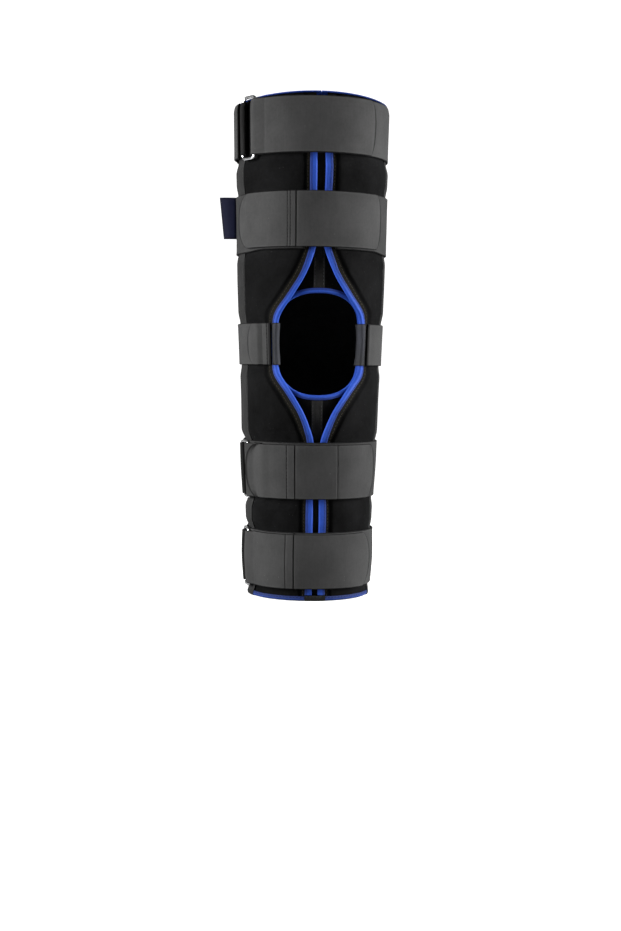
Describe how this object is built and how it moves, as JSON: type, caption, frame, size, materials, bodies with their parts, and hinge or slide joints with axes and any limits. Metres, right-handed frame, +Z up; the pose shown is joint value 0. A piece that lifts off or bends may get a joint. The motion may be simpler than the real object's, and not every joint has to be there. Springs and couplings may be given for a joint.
{
  "type": "knee immobilizer",
  "caption": "Straight padded cloth tube for a leg, with a patella opening, two front flaps over an inner tongue, and wraparound closing straps with wire rings.",
  "frame": {"origin": "middle of the lower rim, on the surface that the brace stands on; the tube's axis passes through it", "axes": "+Z up along the leg, from the lower rim to the upper rim; -Y to the wearer's front, where the flaps close and the patella opening is; +X to the viewer's right"},
  "size_m": [0.1561, 0.1556, 0.46],
  "materials": {
    "padding": "soft matte brushed foam-backed cloth",
    "tape": "black woven tape",
    "binding": "blue satin-edged woven binding",
    "ribbon": "dark grey ribbed tape",
    "strap": "charcoal brushed elastic strap",
    "ring": "bright plated wire",
    "label": "plain navy woven tag"
  },
  "bodies": {
    "root": {"back_panel": "padding", "left_flap": "padding", "right_flap": "padding", "tongue": "padding", "left_stay_pocket": "tape", "right_stay_pocket": "tape", "seam_tape": "tape", "top_anchor_loop": "tape", "shin_anchor_loop": "tape", "hem_anchor_loop": "tape", "left_flap_binding": "binding", "right_flap_binding": "binding", "left_hem_binding": "binding", "right_hem_binding": "binding", "back_hem_binding": "binding", "rim_binding": "binding", "tongue_binding": "binding", "patella_binding": "binding", "left_knee_tab": "ribbon", "right_knee_tab": "ribbon", "upper_tongue_tape": "ribbon", "lower_tongue_tape": "ribbon", "top_strap": "strap", "hem_strap": "strap", "shin_strap": "strap", "shin_closing_strap": "strap", "thigh_strap": "strap", "thigh_closing_strap": "strap", "knee_strap": "strap", "knee_hook_tab": "strap", "top_ring": "ring", "shin_ring": "ring", "hem_ring": "ring", "label": "label"}
  },
  "joints": []
}
